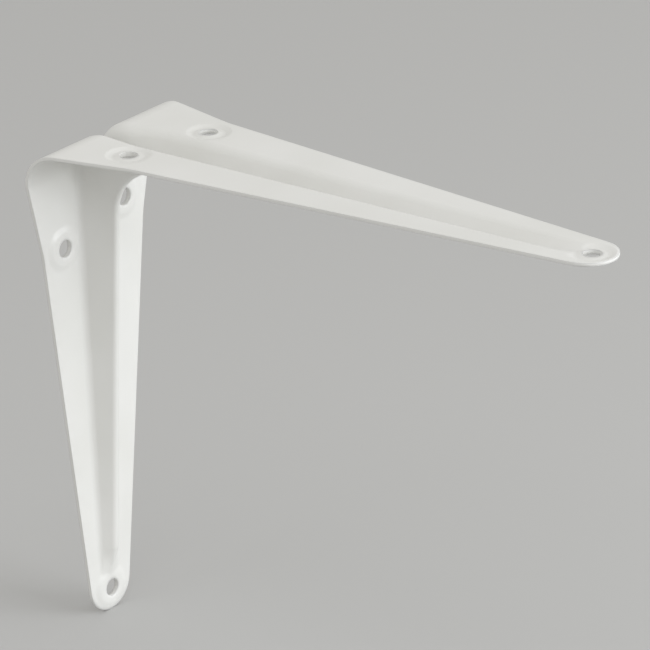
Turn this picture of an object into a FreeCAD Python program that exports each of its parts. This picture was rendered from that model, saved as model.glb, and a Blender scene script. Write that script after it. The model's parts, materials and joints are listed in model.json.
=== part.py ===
# Pressed steel shelf bracket with two unequal arms, made from one folded sheet.
# It is drawn from the corner where its outer faces would meet: X = 0 lies on the wall, Z = 0 lies under the
# shelf, the shelf arm runs along +X, the wall arm runs down -Z, and Y = 0 is the middle plane.
# The finished bracket is raised so that the origin lies between the upper pair of wall screws.
import FreeCAD
import Part
import Sketcher
import math
import os
from FreeCAD import Placement, Rotation, Vector

# Driving sizes in millimetres: alias, value, meaning.
SIZES = (
    ("sheet_thickness", 0.8, "Thickness of the pressed sheet"),
    ("shelf_arm_length", 150.0, "Reach of the shelf arm from the wall face"),
    ("wall_arm_length", 125.0, "Drop of the wall arm from the shelf face"),
    ("corner_half_width", 22.35, "Half width of the sheet round the bend"),
    ("corner_straight", 7.0, "Distance from the corner to the start of the taper"),
    ("corner_round", 12.0, "Radius in plan where the taper starts"),
    ("kink_distance", 27.0, "Distance from the corner to the kink in the taper"),
    ("kink_half_width", 18.1, "Half width at the kink"),
    ("kink_round", 14.0, "Radius in plan of the kink"),
    ("tip_radius", 7.05, "Radius of each round arm tip"),
    ("bend_radius", 9.3, "Outer radius of the bend between the arms"),
    ("screw_hole_diameter", 4.3, "Diameter of all six screw holes"),
    ("near_hole_distance", 21.9, "Corner to the nearer hole of each staggered pair"),
    ("far_hole_distance", 27.9, "Corner to the farther hole of each staggered pair"),
    ("hole_offset", 10.9, "Middle plane to the staggered holes"),
    ("tip_hole_inset", 5.8, "Arm tip to the hole beside it"),
    ("dimple_radius", 5.4, "Radius of the pressed dimple round each hole, at the outer face"),
    ("dimple_floor_radius", 3.9, "Radius of the flat floor of each dimple"),
    ("dimple_depth", 0.5, "Depth of each dimple"),
    ("seat_radius", 3.5, "Radius of the rim pushed out round each screw hole, on the outer side of its dimple"),
    ("seat_depth", 0.4, "Height of that rim, back towards the outer face"),
    ("gusset_centre", 22.0, "Distance of the gusset arc's centre from both outer faces"),
    ("gusset_radius", 13.5, "Radius of the rib crest where it crosses the inside corner"),
    ("rib_end_inset", 3.0, "Distance from the tip hole's centre back to the end of the rib"),
    ("runout_length", 8.0, "Length over which the rib runs out at its end"),
    ("wall_runout_depth", 2.6, "Depth of the groove on the wall arm where the rib starts to run out"),
    ("shelf_runout_depth", 1.5, "Depth of the groove on the shelf arm where the rib starts to run out"),
    ("rib_half_width_bend", 2.4, "Half width of the groove at the bend"),
    ("rib_half_width_arm", 4.8, "Half width of the groove where the arms start"),
    ("wall_rib_end_half_width", 3.1, "Half width of the groove at the foot of the wall arm"),
    ("shelf_rib_end_half_width", 3.4, "Half width of the groove at the front of the shelf arm"),
    ("groove_bottom_radius", 0.4, "Radius in the bottom of the groove round the bend"),
    ("groove_end_radius", 1.0, "Radius in the bottom of the groove where the rib runs out"),
    ("foot_radius_bend", 2.6, "Radius at the foot of the rib in the bend"),
    ("foot_radius_arm", 2.2, "Radius at the foot of the rib along the arms"),
    ("trim_margin", 2.0, "Spare sheet beyond the outline before it is trimmed"),
    ("punch_overlap", 0.1, "How far a raised dimple starts inside the sheet"),
)

ACROSS = Vector(0, 1, 0)
FAN_STEPS = 6


class Sizes:
    """The driving sizes as plain numbers, read back from the spreadsheet."""

    def __init__(self, sheet):
        for alias, value, meaning in SIZES:
            setattr(self, alias, float(sheet.get(alias)))


class Arm:
    """One arm's own frame: x along the arm, y across it, z from its outer face into the sheet."""

    def __init__(self, name, length_alias, outward, along):
        self.name = name
        self.length_alias = length_alias
        self.outward = outward
        self.along = along
        inward = outward * -1
        self.across = inward.cross(along)
        self.rotation = Rotation(along, self.across, inward, "XYZ")

    def place(self, item, along, across, depth):
        """Turn an item into the arm's frame and bind its base point to the sizes."""
        item.Placement = Placement(Vector(), self.rotation)
        parts = ((along, self.along), (across, self.across), (depth, self.outward * -1))
        for axis in "xyz":
            terms = ["%d * (%s)" % (getattr(direction, axis), text) for text, direction in parts
                     if abs(getattr(direction, axis)) > 0.5]
            item.setExpression("Placement.Base." + axis, " + ".join(terms))


WALL = Arm("wall", "wall_arm_length", Vector(-1, 0, 0), Vector(0, 0, -1))
SHELF = Arm("shelf", "shelf_arm_length", Vector(0, 0, 1), Vector(1, 0, 0))


def make_sheet(doc):
    """Spreadsheet with one named cell for each driving size."""
    sheet = doc.addObject("Spreadsheet::Sheet", "Sizes")
    for row, (alias, value, meaning) in enumerate(SIZES, start=1):
        sheet.set("A%d" % row, meaning)
        sheet.set("B%d" % row, str(value))
        sheet.setAlias("B%d" % row, alias)
    doc.recompute()
    return Sizes(sheet)


def rounded_path(corners, radii):
    """Edges along the corners, with an arc of the given radius at each inner corner."""
    edges = []
    start = corners[0]
    for before, corner, after, radius in zip(corners, corners[1:], corners[2:], radii):
        back = (before - corner).normalize()
        ahead = (after - corner).normalize()
        half_angle = back.getAngle(ahead) / 2
        arc_start = corner + back * (radius / math.tan(half_angle))
        arc_end = corner + ahead * (radius / math.tan(half_angle))
        bisector = (back + ahead).normalize()
        arc_middle = corner + bisector * (radius / math.sin(half_angle) - radius)
        edges.append(Part.LineSegment(start, arc_start).toShape())
        edges.append(Part.Arc(arc_start, arc_middle, arc_end).toShape())
        start = arc_end
    edges.append(Part.LineSegment(start, corners[-1]).toShape())
    return edges


def flank_angle(half_width, depth, bottom_radius):
    """Slope of the groove's sides that brings its rounded bottom to the wanted depth."""
    rise = bottom_radius - depth
    return math.asin(bottom_radius / math.hypot(half_width, rise)) - math.atan2(rise, half_width)


def sheet_section(size, face_point, inward, depth, half_width, foot_radius, bottom_radius, slant):
    """Closed section of the sheet, flange to flange across the rib, in the plane of inward and Y."""
    thickness = size.sheet_thickness
    flange = thickness * slant
    edge = size.corner_half_width + size.trim_margin
    angle = flank_angle(half_width, depth, bottom_radius)
    apex = half_width * math.tan(angle)
    inner_apex = apex + thickness / math.cos(angle)
    inner_half_width = (inner_apex - flange) / math.tan(angle)

    def at(across, drop):
        return face_point + inward * drop + ACROSS * across

    outer = rounded_path(
        [at(-edge, 0), at(-half_width, 0), at(0, apex), at(half_width, 0), at(edge, 0)],
        [foot_radius + thickness, bottom_radius, foot_radius + thickness],
    )
    inner = rounded_path(
        [
            at(edge, flange),
            at(inner_half_width, flange),
            at(0, inner_apex),
            at(-inner_half_width, flange),
            at(-edge, flange),
        ],
        [foot_radius, bottom_radius + thickness, foot_radius],
    )
    far_end = Part.LineSegment(at(edge, 0), at(edge, flange)).toShape()
    near_end = Part.LineSegment(at(-edge, flange), at(-edge, 0)).toShape()
    return Part.Wire(outer + [far_end] + inner + [near_end])


def rib_end_distance(size, arm):
    """Distance from the corner to the end of the rib, inside the dimple of the tip hole."""
    return getattr(size, arm.length_alias) - size.tip_hole_inset - size.rib_end_inset


def crest_lean(size, arm):
    """Angle between the straight rib crest and its arm: it touches the gusset arc and meets the run-out."""
    groove_radius = size.gusset_radius + size.sheet_thickness
    rise = size.gusset_centre - getattr(size, arm.name + "_runout_depth")
    run = rib_end_distance(size, arm) - size.runout_length - size.gusset_centre
    return math.atan2(rise, run) - math.asin(groove_radius / math.hypot(rise, run))


def bend_reach(size, angle):
    """Distance from the gusset arc's centre to the outer face, and the slant of the face to that ray."""
    flat = size.gusset_centre - size.bend_radius
    bend_start = math.atan2(flat, size.gusset_centre)
    off_face = min(angle, math.pi / 2 - angle)
    if off_face <= bend_start:
        return size.gusset_centre / math.cos(off_face), 1 / math.cos(off_face)
    to_bend = math.sqrt(2) * flat
    turn = angle - math.pi / 4
    square = math.sqrt(size.bend_radius ** 2 - (to_bend * math.sin(turn)) ** 2)
    return to_bend * math.cos(turn) + square, size.bend_radius / square


def fan_section(size, angle, share):
    """Section through the gusset arc's centre, turned by an angle from the wall's normal."""
    centre = Vector(size.gusset_centre, 0, -size.gusset_centre)
    outward = Vector(-math.cos(angle), 0, math.sin(angle))
    reach, slant = bend_reach(size, angle)
    depth = reach - size.gusset_radius - size.sheet_thickness
    half_width = size.rib_half_width_arm + share * (size.rib_half_width_bend - size.rib_half_width_arm)
    foot_radius = size.foot_radius_arm + share * (size.foot_radius_bend - size.foot_radius_arm)
    return sheet_section(size, centre + outward * reach, outward * -1, depth, half_width, foot_radius,
                         size.groove_bottom_radius, slant)


def arm_sections(size, arm):
    """Sections square to an arm: where the rib starts to run out, and where it ends in the tip dimple."""
    end = rib_end_distance(size, arm)
    start = end - size.runout_length
    start_depth = getattr(size, arm.name + "_runout_depth")
    end_width = getattr(size, arm.name + "_rib_end_half_width")
    return [sheet_section(size, arm.along * distance, arm.outward * -1, depth, end_width,
                          size.foot_radius_arm, size.groove_end_radius, 1.0)
            for distance, depth in ((start, start_depth), (end, size.dimple_depth))]


def with_true_planes(solid):
    """The same solid, with each flat lofted face made again as a true plane."""
    faces = []
    for face in solid.Faces:
        if face.findPlane():
            face = Part.makeFace(face.Wires, "Part::FaceMakerBullseye")
        faces.append(face)
    shell = Part.Shell(faces)
    shell.sewShape()
    return Part.Solid(shell)


def add_pressed_sheet(doc, size):
    """The untrimmed sheet: two ruled arms, and the fan of sections that carries the rib round the bend."""
    first = crest_lean(size, WALL)
    last = math.pi / 2 - crest_lean(size, SHELF)
    middle = (first + last) / 2
    bend_start = math.atan2(size.gusset_centre - size.bend_radius, size.gusset_centre)
    stops = (first, bend_start, math.pi / 2 - bend_start, last)

    def fan_at(angle):
        share = (1 + math.cos(math.pi * (angle - middle) / (last - middle))) / 2
        return fan_section(size, angle, share)

    pieces = [
        Part.makeLoft([fan_at(first)] + arm_sections(size, WALL), True, True),
        Part.makeLoft([fan_at(last)] + arm_sections(size, SHELF), True, True),
    ]
    for start, stop in zip(stops, stops[1:]):
        step = (stop - start) / FAN_STEPS
        sections = [fan_at(start + step * count) for count in range(FAN_STEPS + 1)]
        pieces.append(Part.makeLoft(sections, True, False))
    pieces = [with_true_planes(piece) for piece in pieces]
    sheet = doc.addObject("Part::Feature", "pressed_sheet")
    sheet.Shape = pieces[0].multiFuse(pieces[1:])
    return sheet


def add_tip_plate(doc, arm):
    """Flat end of an arm, from the end of the rib past the tip."""
    plate = doc.addObject("Part::Box", arm.name + "_tip_plate")
    plate.setExpression("Length", "Sizes.tip_hole_inset + Sizes.rib_end_inset + Sizes.trim_margin")
    plate.setExpression("Width", "2 * (Sizes.corner_half_width + Sizes.trim_margin)")
    plate.setExpression("Height", "Sizes.sheet_thickness")
    start = "Sizes.%s - Sizes.tip_hole_inset - Sizes.rib_end_inset" % arm.length_alias
    arm.place(plate, start, "-Sizes.corner_half_width - Sizes.trim_margin", "0")
    return plate


def left_of(angle):
    """Unit vector square to a line at this angle from the arm, on its left."""
    return Vector(-math.sin(angle), math.cos(angle), 0)


def arc_between(centre, radius, first_angle, last_angle):
    """Arc drawn anticlockwise from one angle to another."""
    circle = Part.Circle(centre, Vector(0, 0, 1), radius)
    return Part.ArcOfCircle(circle, first_angle, last_angle)


class Taper:
    """The two slopes of an arm's side, and the side of the kink on which its arc's centre lies."""

    def __init__(self, size, arm):
        self.corner_centre = Vector(size.corner_straight, size.corner_half_width - size.corner_round, 0)
        self.kink = Vector(size.kink_distance, size.kink_half_width, 0)
        self.tip_centre = Vector(getattr(size, arm.length_alias) - size.tip_radius, 0, 0)
        self.steep = self.slope(self.corner_centre, self.kink, -size.corner_round)
        self.hollow = self.steep < self.slope(self.kink, self.tip_centre, size.tip_radius)
        side = size.kink_round if self.hollow else -size.kink_round
        self.kink_centre = self.kink + left_of(self.steep) * side
        self.gentle = self.slope(self.kink_centre, self.tip_centre, size.tip_radius + side)
        self.kink_end = self.kink_centre - left_of(self.gentle) * side

    def slope(self, start, end, offset):
        """Angle of a line that starts at one point and passes the other at an offset on its left."""
        run = end - start
        return math.atan2(run.y, run.x) + math.asin(offset / run.Length)


def draw_outline(sketch, size, taper):
    """Plan outline of one arm: straight round the bend, steep taper, kink, gentle taper, round tip."""
    quarter = math.pi / 2
    back = Vector(-size.trim_margin, size.corner_half_width, 0)
    corner_start = taper.corner_centre + Vector(0, size.corner_round, 0)
    corner_end = taper.corner_centre + left_of(taper.steep) * size.corner_round
    touch = taper.tip_centre + left_of(taper.gentle) * size.tip_radius
    if taper.hollow:
        kink_arc = (taper.steep - quarter, taper.gentle - quarter)
    else:
        kink_arc = (taper.gentle + quarter, taper.steep + quarter)

    def mirrored(point):
        return Vector(point.x, -point.y, 0)

    for shape in (
        Part.LineSegment(back, corner_start),
        arc_between(taper.corner_centre, size.corner_round, taper.steep + quarter, quarter),
        Part.LineSegment(corner_end, taper.kink),
        arc_between(taper.kink_centre, size.kink_round, kink_arc[0], kink_arc[1]),
        Part.LineSegment(taper.kink_end, touch),
        arc_between(taper.tip_centre, size.tip_radius, -taper.gentle - quarter, taper.gentle + quarter),
        Part.LineSegment(mirrored(touch), mirrored(taper.kink_end)),
        arc_between(mirrored(taper.kink_centre), size.kink_round, -kink_arc[1], -kink_arc[0]),
        Part.LineSegment(mirrored(taper.kink), mirrored(corner_end)),
        arc_between(mirrored(taper.corner_centre), size.corner_round, -quarter, -taper.steep - quarter),
        Part.LineSegment(mirrored(corner_start), mirrored(back)),
        Part.LineSegment(mirrored(back), back),
    ):
        sketch.addGeometry(shape)


def constrain_outline(sketch, size, arm, taper):
    """Tie the outline together and bind it to the sizes. Its parts are numbered from the upper back corner."""
    (straight, corner, steep, kink, gentle, tip, far_gentle, far_kink, far_steep, far_corner, far_straight,
     back) = range(12)
    start, end, centre = 1, 2, 3
    kink_steep, kink_gentle = (start, end) if taper.hollow else (end, start)
    x_axis = -1
    origin = (-1, 1)
    ties = (
        ("Coincident", back, end, straight, start),
        ("Tangent", straight, end, corner, end),
        ("Tangent", corner, start, steep, start),
        ("Tangent", steep, end, kink, kink_steep),
        ("Tangent", kink, kink_gentle, gentle, start),
        ("Tangent", gentle, end, tip, end),
        ("Tangent", tip, start, far_gentle, start),
        ("Tangent", far_gentle, end, far_kink, kink_steep),
        ("Tangent", far_kink, kink_gentle, far_steep, start),
        ("Tangent", far_steep, end, far_corner, end),
        ("Tangent", far_corner, start, far_straight, start),
        ("Coincident", far_straight, end, back, start),
        ("Horizontal", straight),
        ("Horizontal", far_straight),
        ("Vertical", back),
        ("Symmetric", corner, centre, far_corner, centre, x_axis),
        ("Symmetric", kink, kink_steep, far_kink, kink_gentle, x_axis),
        ("Equal", corner, far_corner),
        ("Equal", kink, far_kink),
        ("PointOnObject", tip, centre, x_axis),
    )
    tip_along = getattr(size, arm.length_alias) - size.tip_radius
    tip_expression = "Sizes.%s - Sizes.tip_radius" % arm.length_alias
    sized = (
        ("corner_along", "Sizes.corner_straight", "DistanceX", *origin, corner, end, size.corner_straight),
        ("corner_side", "Sizes.corner_half_width", "DistanceY", *origin, corner, end, size.corner_half_width),
        ("corner_round", "Sizes.corner_round", "Radius", corner, size.corner_round),
        ("kink_along", "Sizes.kink_distance", "DistanceX", *origin, kink, kink_steep, size.kink_distance),
        ("kink_side", "Sizes.kink_half_width", "DistanceY", *origin, kink, kink_steep, size.kink_half_width),
        ("kink_round", "Sizes.kink_round", "Radius", kink, size.kink_round),
        ("tip_along", tip_expression, "DistanceX", *origin, tip, centre, tip_along),
        ("tip_round", "Sizes.tip_radius", "Radius", tip, size.tip_radius),
        ("back_along", "Sizes.trim_margin", "DistanceX", straight, start, *origin, size.trim_margin),
    )
    for tie in ties:
        sketch.addConstraint(Sketcher.Constraint(*tie))
    for name, expression, *terms in sized:
        index = sketch.addConstraint(Sketcher.Constraint(*terms))
        sketch.renameConstraint(index, name)
        sketch.setExpression("Constraints." + name, expression)


def add_outline(doc, size, arm):
    """Solid that holds everything inside the arm's plan outline; the sheet is trimmed to it."""
    body = doc.addObject("PartDesign::Body", arm.name + "_outline")
    sketch = body.newObject("Sketcher::SketchObject", arm.name + "_outline_sketch")
    plane = next(item for item in body.Origin.OriginFeatures if item.Role == "XY_Plane")
    sketch.AttachmentSupport = [(plane, "")]
    sketch.MapMode = "FlatFace"
    taper = Taper(size, arm)
    draw_outline(sketch, size, taper)
    constrain_outline(sketch, size, arm, taper)
    if sketch.solve() != 0 or not sketch.FullyConstrained:
        raise RuntimeError("%s does not hold its outline" % sketch.Name)
    pad = body.newObject("PartDesign::Pad", arm.name + "_outline_pad")
    pad.Profile = sketch
    pad.SideType = "Symmetric"
    pad.setExpression("Length", "2 * (Sizes.shelf_arm_length + Sizes.wall_arm_length)")
    body.Placement = Placement(Vector(), arm.rotation)
    return body


def hole_places(arm):
    """Expressions for where the three screw holes of an arm stand: name, distance along, distance across."""
    tip = "Sizes.%s - Sizes.tip_hole_inset" % arm.length_alias
    return (
        ("near", "Sizes.near_hole_distance", "Sizes.hole_offset"),
        ("far", "Sizes.far_hole_distance", "-Sizes.hole_offset"),
        ("tip", tip, "0"),
    )


def add_dimple(doc, arm, name, along, across, raised):
    """Cone for one dimple: the raised inner side, or the hollow outer side that is cut away."""
    spread = "(Sizes.dimple_radius - Sizes.dimple_floor_radius) / Sizes.dimple_depth"
    kind = "raised" if raised else "hollow"
    cone = doc.addObject("Part::Cone", "%s_%s_dimple_%s" % (arm.name, name, kind))
    lead = "Sizes.punch_overlap" if raised else "Sizes.sheet_thickness"
    depth = "Sizes.sheet_thickness - Sizes.punch_overlap" if raised else "-Sizes.sheet_thickness"
    wider = "Sizes.sheet_thickness / (%s + sqrt(1 + (%s) ^ 2))" % (spread, spread) if raised else "0"
    cone.setExpression("Radius1", "Sizes.dimple_radius + %s + %s * %s" % (wider, lead, spread))
    cone.setExpression("Radius2", "Sizes.dimple_floor_radius + %s" % wider)
    cone.setExpression("Height", "Sizes.dimple_depth + " + lead)
    arm.place(cone, along, across, depth)
    return cone


def add_rim(doc, arm, name, along, across):
    """Cone pushed out round a screw hole, on the outer side of its dimple."""
    spread = "(Sizes.seat_radius - Sizes.screw_hole_diameter / 2) / Sizes.seat_depth"
    cone = doc.addObject("Part::Cone", "%s_%s_rim" % (arm.name, name))
    cone.setExpression("Radius1", "Sizes.screw_hole_diameter / 2")
    cone.setExpression("Radius2", "Sizes.seat_radius + Sizes.punch_overlap * %s" % spread)
    cone.setExpression("Height", "Sizes.seat_depth + Sizes.punch_overlap")
    arm.place(cone, along, across, "Sizes.dimple_depth - Sizes.seat_depth")
    return cone


def add_screw_hole(doc, arm, name, along, across):
    """Punch for one screw hole, right through the sheet and its dimple."""
    punch = doc.addObject("Part::Cylinder", "%s_%s_hole" % (arm.name, name))
    punch.setExpression("Radius", "Sizes.screw_hole_diameter / 2")
    punch.setExpression("Height", "3 * Sizes.sheet_thickness + Sizes.dimple_depth")
    arm.place(punch, along, across, "-Sizes.sheet_thickness")
    return punch


def combine(doc, kind, name, items):
    """Boolean of several items; their common faces are merged."""
    result = doc.addObject(kind, name)
    result.Shapes = items
    result.Refine = True
    return result


def cut_away(doc, name, base, tool):
    """The base less the tool; their common faces are merged."""
    result = doc.addObject("Part::Cut", name)
    result.Base = base
    result.Tool = tool
    result.Refine = True
    return result


def check_document(doc):
    """Stop if any object failed to build."""
    doc.recompute()
    for item in doc.Objects:
        if "Invalid" in item.State or "Error" in item.State:
            raise RuntimeError("%s did not build: %s" % (item.Name, item.State))


def main():
    doc = FreeCAD.newDocument("ShelfBracket")
    size = make_sheet(doc)
    pressed = [add_pressed_sheet(doc, size)]
    outlines = []
    hollows = []
    rims = []
    punches = []
    for arm in (WALL, SHELF):
        pressed.append(add_tip_plate(doc, arm))
        outlines.append(add_outline(doc, size, arm))
        for name, along, across in hole_places(arm):
            pressed.append(add_dimple(doc, arm, name, along, across, True))
            hollows.append(add_dimple(doc, arm, name, along, across, False))
            rims.append(add_rim(doc, arm, name, along, across))
            punches.append(add_screw_hole(doc, arm, name, along, across))
    blank = combine(doc, "Part::MultiFuse", "pressed_blank", pressed)
    trimmed = combine(doc, "Part::MultiCommon", "trimmed_sheet", [blank] + outlines)
    dimpled = cut_away(doc, "dimpled_sheet", trimmed, combine(doc, "Part::MultiFuse", "hollows", hollows))
    rimmed = combine(doc, "Part::MultiFuse", "rimmed_sheet", [dimpled] + rims)
    bracket = cut_away(doc, "shelf_bracket", rimmed, combine(doc, "Part::MultiFuse", "punches", punches))
    bracket.setExpression("Placement.Base.z", "(Sizes.near_hole_distance + Sizes.far_hole_distance) / 2")
    bracket.Label = "shelf_bracket"
    check_document(doc)
    shape = bracket.Shape
    if shape.isNull() or not shape.isValid() or len(shape.Solids) != 1:
        raise RuntimeError("%s is not one valid solid" % bracket.Label)
    os.makedirs("parts", exist_ok=True)
    shape.exportStep("parts/%s.step" % bracket.Label)
    print(bracket.Label, "volume", round(shape.Volume, 1), "faces", len(shape.Faces), shape.BoundBox)


if __name__ == "__main__":
    main()
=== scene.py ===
import json
import math

import bpy
from bpy.props import FloatProperty, FloatVectorProperty, PointerProperty
from mathutils import Matrix, Vector


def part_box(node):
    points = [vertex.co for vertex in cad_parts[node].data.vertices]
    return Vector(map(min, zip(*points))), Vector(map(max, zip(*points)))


bl_info = {
    "name": "Shelf Bracket Studio",
    "version": (1, 0, 0),
    "blender": (4, 5, 0),
    "location": "View3D > Sidebar > Bracket",
    "description": "Paints a pressed shelf bracket and sets it in a small studio",
    "category": "Object",
}

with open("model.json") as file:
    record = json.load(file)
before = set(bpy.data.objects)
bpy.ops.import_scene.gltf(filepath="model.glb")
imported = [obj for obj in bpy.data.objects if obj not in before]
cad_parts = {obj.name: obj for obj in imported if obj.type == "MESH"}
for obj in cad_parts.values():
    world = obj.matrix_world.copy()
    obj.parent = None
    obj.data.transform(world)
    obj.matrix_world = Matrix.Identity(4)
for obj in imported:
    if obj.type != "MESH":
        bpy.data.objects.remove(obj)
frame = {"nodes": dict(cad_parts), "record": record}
BRACKET = "shelf_bracket"

# The holes of a pair lie on the two sides of the rib, one a little nearer to the corner. The soft
# creases round a hole fade into the plain sheet over a short way.
HOLE_FROM_MIDDLE = 0.0109
HOLE_STAGGER = 0.0030
DIMPLE_FADE = 0.001

# Noise scales are in waves to the metre, and a turn is the cosine of the angle between two normals.
ENAMEL_SPECULAR = 0.45
TINT_SCALE = 45.0
TINT_DETAIL = 2.0
TINT_POOLED_BELOW = 0.35
TINT_EVEN_ABOVE = 0.65
GLOSS_SCALE = 120.0
GLOSS_DETAIL = 3.0
GLOSS_SPREAD = 0.05
PEEL_DETAIL = 1.0
ROUNDING_SAMPLES = 8
# Where the rounded normal turns this far from the face, the painted edge highlight begins, and then
# is at full strength.
EDGE_TURN_START = 0.98
EDGE_TURN_FULL = 0.80

# Sockets of a Mix node set to colours, which share their names with its sockets for other types.
MIX_FIRST_COLOUR = 6
MIX_SECOND_COLOUR = 7
MIX_COLOUR_RESULT = 2

# Sizes on the stage are counted in diagonals of the bracket's box. Each lamp has the way to it from
# the bracket, which is about one long, then its width and its height.
FLOOR_WIDTH = 80
FLOOR_ROUGHNESS = 0.9
LAMP_DISTANCE = 6
LAMPS = (
    ("key", (0.84, 0.20, 0.45), 4.0, 4.0),
    ("fill", (0.90, 0.44, 0.045), 2.0, 1.0),
    ("top", (0.10, -0.45, 0.90), 4.0, 4.0),
    ("gleam", (0.67, 0.72, 0.14), 1.5, 1.0),
)


class BracketPaint(bpy.types.PropertyGroup):
    """The white enamel on the sheet."""

    colour: FloatVectorProperty(
        name="Paint",
        description="Colour of the enamel where it lies evenly",
        subtype="COLOR",
        size=3,
        min=0.0,
        max=1.0,
        default=(0.81, 0.809, 0.787),
    )
    pooled_colour: FloatVectorProperty(
        name="Pooled Paint",
        description="Colour where the enamel ran a little thicker before it was baked",
        subtype="COLOR",
        size=3,
        min=0.0,
        max=1.0,
        default=(0.78, 0.779, 0.752),
    )
    roughness: FloatProperty(
        name="Roughness",
        description="Gloss of the enamel, from mirror to matt",
        subtype="FACTOR",
        min=0.0,
        max=1.0,
        default=0.32,
    )
    peel_size: FloatProperty(
        name="Orange Peel Size",
        description="Distance between the soft waves in the enamel",
        subtype="DISTANCE",
        unit="LENGTH",
        min=0.0001,
        default=0.0016,
    )
    peel_height: FloatProperty(
        name="Orange Peel Height",
        description="Height of the soft waves in the enamel",
        subtype="DISTANCE",
        unit="LENGTH",
        min=0.0,
        default=0.000006,
    )
    # Painted highlight: a lighter colour that is mixed into the enamel along the rounded edges to
    # stand in for light catching them.
    edge_highlight_colour: FloatVectorProperty(
        name="Painted Edge Highlight",
        description="Colour of the enamel where it is drawn tight over an edge",
        subtype="COLOR",
        size=3,
        min=0.0,
        max=1.0,
        default=(0.90, 0.90, 0.885),
    )
    edge_radius: FloatProperty(
        name="Edge Radius",
        description="Radius to which the enamel rounds the cut edges",
        subtype="DISTANCE",
        unit="LENGTH",
        min=0.0,
        default=0.0003,
    )
    dimple_edge_radius: FloatProperty(
        name="Dimple Radius",
        description="Radius of the soft creases where the punch drew the sheet round a screw hole",
        subtype="DISTANCE",
        unit="LENGTH",
        min=0.0,
        default=0.0014,
    )
    dimple_reach: FloatProperty(
        name="Dimple Reach",
        description="How far from the middle of a screw hole its soft creases go",
        subtype="DISTANCE",
        unit="LENGTH",
        min=0.001,
        default=0.0062,
    )


class BracketStage(bpy.types.PropertyGroup):
    """Floor, lamps and camera round the bracket."""

    floor_colour: FloatVectorProperty(
        name="Floor",
        description="Colour of the floor",
        subtype="COLOR",
        size=3,
        min=0.0,
        max=1.0,
        default=(0.53, 0.53, 0.525),
    )
    sky_strength: FloatProperty(
        name="Room Light",
        description="Strength of the even light from all sides",
        min=0.0,
        default=0.675,
    )
    sky_colour: FloatVectorProperty(
        name="Room Colour",
        description="Colour of the even light from all sides",
        subtype="COLOR",
        size=3,
        min=0.0,
        max=1.0,
        default=(1.0, 0.988, 0.958),
    )
    lamp_colour: FloatVectorProperty(
        name="Lamp Colour",
        description="Colour of the lamps",
        subtype="COLOR",
        size=3,
        min=0.0,
        max=1.0,
        default=(0.945, 0.97, 1.0),
    )
    key_strength: FloatProperty(
        name="Key Light",
        description="Strength of the large lamp on the right",
        min=0.0,
        default=1.12,
    )
    fill_strength: FloatProperty(
        name="Fill Light",
        description="Strength of the low lamp on the right",
        min=0.0,
        default=0.75,
    )
    top_strength: FloatProperty(
        name="Top Light",
        description="Strength of the large lamp overhead",
        min=0.0,
        default=0.33,
    )
    gleam_strength: FloatProperty(
        name="Gleam Light",
        description="Strength of the small lamp on the right, a little behind the bracket",
        min=0.0,
        default=0.30,
    )
    camera_azimuth: FloatProperty(
        name="Camera Azimuth",
        description="Turn of the camera round the bracket, from straight in front of its side",
        subtype="ANGLE",
        unit="ROTATION",
        default=math.radians(38.80),
    )
    camera_elevation: FloatProperty(
        name="Camera Elevation",
        description="Height of the camera above the horizon",
        subtype="ANGLE",
        unit="ROTATION",
        default=math.radians(22.69),
    )
    camera_roll: FloatProperty(
        name="Camera Roll",
        description="Tilt of the camera about its own line of sight",
        subtype="ANGLE",
        unit="ROTATION",
        default=math.radians(-1.71),
    )
    camera_distance: FloatProperty(
        name="Camera Distance",
        description="Distance from the camera to the point that it looks at",
        subtype="DISTANCE",
        unit="LENGTH",
        default=1.2486,
    )
    camera_lens: FloatProperty(
        name="Lens",
        description="Focal length of the camera",
        subtype="DISTANCE_CAMERA",
        default=299.25,
    )
    camera_aim: FloatVectorProperty(
        name="Camera Aim",
        description="Point that the camera looks at",
        subtype="TRANSLATION",
        unit="LENGTH",
        size=3,
        default=(0.05732, 0.01490, -0.01787),
    )


def screw_holes():
    """Middles of the six screw holes, in the faces that lie on the wall and under the shelf."""
    places = {mount["name"]: mount["pos_m"] for mount in frame["record"]["mounts"]}
    wall_face, _, wall_pair = places["wall_screws"]
    _, _, wall_tip = places["wall_tip_screw"]
    shelf_pair, _, shelf_face = places["shelf_screws"]
    shelf_tip, _, _ = places["shelf_tip_screw"]
    return (
        (wall_face, HOLE_FROM_MIDDLE, wall_pair + HOLE_STAGGER),
        (wall_face, -HOLE_FROM_MIDDLE, wall_pair - HOLE_STAGGER),
        (wall_face, 0.0, wall_tip),
        (shelf_pair - HOLE_STAGGER, HOLE_FROM_MIDDLE, shelf_face),
        (shelf_pair + HOLE_STAGGER, -HOLE_FROM_MIDDLE, shelf_face),
        (shelf_tip, 0.0, shelf_face),
    )


def distance_to_holes(tree, place):
    """Distance from the shaded point to the middle of the nearest screw hole."""
    nearest = None
    for centre in screw_holes():
        gap = tree.nodes.new("ShaderNodeVectorMath")
        gap.operation = "DISTANCE"
        tree.links.new(place, gap.inputs[0])
        gap.inputs[1].default_value = centre
        if nearest is None:
            nearest = gap.outputs["Value"]
            continue
        least = tree.nodes.new("ShaderNodeMath")
        least.operation = "MINIMUM"
        tree.links.new(nearest, least.inputs[0])
        tree.links.new(gap.outputs["Value"], least.inputs[1])
        nearest = least.outputs["Value"]
    return nearest


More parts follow.
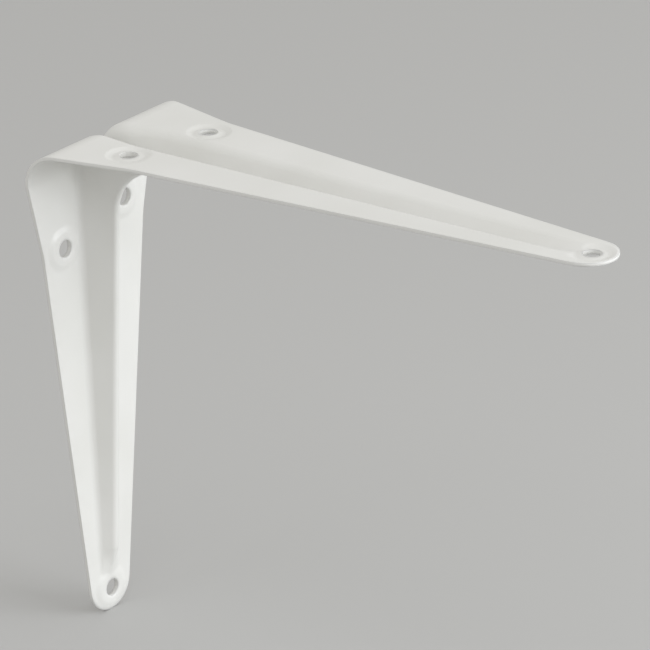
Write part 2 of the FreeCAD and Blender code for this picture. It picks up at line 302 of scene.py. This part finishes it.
def rounded_edges(tree, place, settings):
    """Normal that rounds the cut edges a little, and the creases round the screw holes more."""
    radius = tree.nodes.new("ShaderNodeMapRange")
    radius.inputs["From Min"].default_value = settings.dimple_reach
    radius.inputs["From Max"].default_value = settings.dimple_reach + DIMPLE_FADE
    radius.inputs["To Min"].default_value = settings.dimple_edge_radius
    radius.inputs["To Max"].default_value = settings.edge_radius
    tree.links.new(distance_to_holes(tree, place), radius.inputs["Value"])
    rounding = tree.nodes.new("ShaderNodeBevel")
    rounding.samples = ROUNDING_SAMPLES
    tree.links.new(radius.outputs["Result"], rounding.inputs["Radius"])
    return rounding.outputs["Normal"]


def soft_noise(tree, place, scale, detail):
    """Soft noise that stays where it is on the sheet."""
    noise = tree.nodes.new("ShaderNodeTexNoise")
    noise.inputs["Scale"].default_value = scale
    noise.inputs["Detail"].default_value = detail
    tree.links.new(place, noise.inputs["Vector"])
    return noise.outputs["Fac"]


def uneven_colour(tree, place, settings):
    """Colour of the enamel, with faint patches where it pooled."""
    tint = tree.nodes.new("ShaderNodeValToRGB")
    pooled, even = tint.color_ramp.elements
    pooled.position = TINT_POOLED_BELOW
    pooled.color = (*settings.pooled_colour, 1.0)
    even.position = TINT_EVEN_ABOVE
    even.color = (*settings.colour, 1.0)
    tree.links.new(soft_noise(tree, place, TINT_SCALE, TINT_DETAIL), tint.inputs["Fac"])
    return tint.outputs["Color"]


def painted_edge_highlight(tree, colour, rounded, settings):
    """Colour of the enamel with a painted highlight, lighter where the rounding turns the surface
    away from its face.
    """
    turn = tree.nodes.new("ShaderNodeVectorMath")
    turn.operation = "DOT_PRODUCT"
    tree.links.new(rounded, turn.inputs[0])
    tree.links.new(tree.nodes.new("ShaderNodeNewGeometry").outputs["Normal"], turn.inputs[1])
    highlight_mask = tree.nodes.new("ShaderNodeMapRange")
    highlight_mask.inputs["From Min"].default_value = EDGE_TURN_START
    highlight_mask.inputs["From Max"].default_value = EDGE_TURN_FULL
    tree.links.new(turn.outputs["Value"], highlight_mask.inputs["Value"])
    # The painted edge highlight is mixed over the enamel colour here.
    coat = tree.nodes.new("ShaderNodeMix")
    coat.data_type = "RGBA"
    tree.links.new(highlight_mask.outputs["Result"], coat.inputs["Factor"])
    tree.links.new(colour, coat.inputs[MIX_FIRST_COLOUR])
    coat.inputs[MIX_SECOND_COLOUR].default_value = (*settings.edge_highlight_colour, 1.0)
    return coat.outputs[MIX_COLOUR_RESULT]


def uneven_gloss(tree, place, settings):
    """Roughness of the enamel, which wanders a little over the sheet."""
    gloss = tree.nodes.new("ShaderNodeMapRange")
    gloss.inputs["To Min"].default_value = settings.roughness - GLOSS_SPREAD
    gloss.inputs["To Max"].default_value = settings.roughness + GLOSS_SPREAD
    tree.links.new(soft_noise(tree, place, GLOSS_SCALE, GLOSS_DETAIL), gloss.inputs["Value"])
    return gloss.outputs["Result"]


def orange_peel(tree, place, rounded, settings):
    """Normal with the soft waves of baked enamel, laid over the rounded edges."""
    waves = tree.nodes.new("ShaderNodeBump")
    waves.inputs["Strength"].default_value = 1.0
    waves.inputs["Distance"].default_value = settings.peel_height
    height = soft_noise(tree, place, 1.0 / settings.peel_size, PEEL_DETAIL)
    tree.links.new(height, waves.inputs["Height"])
    tree.links.new(rounded, waves.inputs["Normal"])
    return waves.outputs["Normal"]


def paint_material(settings):
    """Baked white enamel: faintly uneven in colour and gloss, with soft waves in its surface and a
    painted highlight along its edges.
    """
    material = bpy.data.materials.new("white_enamel")
    material.use_nodes = True
    tree = material.node_tree
    shader = tree.nodes["Principled BSDF"]
    shader.inputs["Specular IOR Level"].default_value = ENAMEL_SPECULAR
    place = tree.nodes.new("ShaderNodeTexCoord").outputs["Object"]
    rounded = rounded_edges(tree, place, settings)
    # The colour carries the painted highlight along the edges.
    colour = painted_edge_highlight(tree, uneven_colour(tree, place, settings), rounded, settings)
    tree.links.new(colour, shader.inputs["Base Color"])
    tree.links.new(uneven_gloss(tree, place, settings), shader.inputs["Roughness"])
    tree.links.new(orange_peel(tree, place, rounded, settings), shader.inputs["Normal"])
    return material


class OBJECT_OT_bracket_paint(bpy.types.Operator):
    """Give the pressed sheet its coat of enamel"""

    bl_idname = "object.bracket_paint"
    bl_label = "Paint Bracket"

    def execute(self, context):
        bracket = frame["nodes"][BRACKET]
        material = paint_material(context.scene.bracket_paint)
        for slot in bracket.material_slots:
            slot.material = material
        return {"FINISHED"}


def aimed(location, target):
    """Placement that stands at a location and looks at a target."""
    turn = (target - location).to_track_quat("-Z", "Y")
    return Matrix.Translation(location) @ turn.to_matrix().to_4x4()


def add_lamp(name, location, target, size, strength, colour):
    """Area lamp aimed at a point, as bright as its strength whatever its size and distance."""
    data = bpy.data.lights.new(name, "AREA")
    data.color = colour
    data.shape = "RECTANGLE"
    data.size, data.size_y = size
    data.energy = strength * math.pi * (target - location).length ** 2
    lamp = bpy.data.objects.new(name, data)
    lamp.matrix_world = aimed(location, target)
    bpy.context.scene.collection.objects.link(lamp)


def add_floor(settings, level, width):
    """Pale floor under the bracket's lowest point."""
    bpy.ops.mesh.primitive_plane_add(size=width, location=(0.0, 0.0, level))
    floor = bpy.context.object
    floor.name = "floor"
    material = bpy.data.materials.new("pale_floor")
    material.use_nodes = True
    shader = material.node_tree.nodes["Principled BSDF"]
    shader.inputs["Base Color"].default_value = (*settings.floor_colour, 1.0)
    shader.inputs["Roughness"].default_value = FLOOR_ROUGHNESS
    floor.data.materials.append(material)


def add_room(settings):
    """Even light from all sides."""
    world = bpy.data.worlds.new("room")
    world.use_nodes = True
    room = world.node_tree.nodes["Background"]
    room.inputs["Color"].default_value = (*settings.sky_colour, 1.0)
    room.inputs["Strength"].default_value = settings.sky_strength
    bpy.context.scene.world = world


def add_camera(settings):
    """Camera at the photograph's viewing angle."""
    data = bpy.data.cameras.new("camera")
    data.lens = settings.camera_lens
    turn = (
        Matrix.Rotation(settings.camera_azimuth, 4, "Z")
        @ Matrix.Rotation(math.pi / 2 - settings.camera_elevation, 4, "X")
        @ Matrix.Rotation(settings.camera_roll, 4, "Z")
    )
    back = turn.to_3x3() @ Vector((0.0, 0.0, 1.0))
    place = Vector(settings.camera_aim) + back * settings.camera_distance
    camera = bpy.data.objects.new("camera", data)
    camera.matrix_world = Matrix.Translation(place) @ turn
    bpy.context.scene.collection.objects.link(camera)
    bpy.context.scene.camera = camera


class SCENE_OT_bracket_stage(bpy.types.Operator):
    """Set up the floor, the lamps and the camera"""

    bl_idname = "scene.bracket_stage"
    bl_label = "Build Stage"

    def execute(self, context):
        settings = context.scene.bracket_stage
        low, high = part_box(BRACKET)
        middle = (low + high) / 2
        reach = (high - low).length
        add_floor(settings, low.z, FLOOR_WIDTH * reach)
        for name, way, width, height in LAMPS:
            place = middle + Vector(way) * reach * LAMP_DISTANCE
            size = (width * reach, height * reach)
            strength = getattr(settings, name + "_strength")
            add_lamp(name + "_lamp", place, middle, size, strength, settings.lamp_colour)
        add_room(settings)
        add_camera(settings)
        context.scene.view_settings.view_transform = "Standard"
        return {"FINISHED"}


class VIEW3D_PT_bracket(bpy.types.Panel):
    """Buttons and settings of the bracket studio"""

    bl_label = "Shelf Bracket"
    bl_space_type = "VIEW_3D"
    bl_region_type = "UI"
    bl_category = "Bracket"

    def draw(self, context):
        for settings, operator in (
            (context.scene.bracket_paint, OBJECT_OT_bracket_paint),
            (context.scene.bracket_stage, SCENE_OT_bracket_stage),
        ):
            box = self.layout.box()
            for name in settings.bl_rna.properties.keys():
                if name not in {"rna_type", "name"}:
                    box.prop(settings, name)
            box.operator(operator.bl_idname)


CLASSES = (
    BracketPaint,
    BracketStage,
    OBJECT_OT_bracket_paint,
    SCENE_OT_bracket_stage,
    VIEW3D_PT_bracket,
)


def register():
    for item in CLASSES:
        bpy.utils.register_class(item)
    bpy.types.Scene.bracket_paint = PointerProperty(type=BracketPaint)
    bpy.types.Scene.bracket_stage = PointerProperty(type=BracketStage)


def unregister():
    del bpy.types.Scene.bracket_stage
    del bpy.types.Scene.bracket_paint
    for item in reversed(CLASSES):
        bpy.utils.unregister_class(item)


def main():
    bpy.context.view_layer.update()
    register()
    bpy.ops.object.bracket_paint()
    bpy.ops.scene.bracket_stage()


if __name__ == "__main__":
    main()
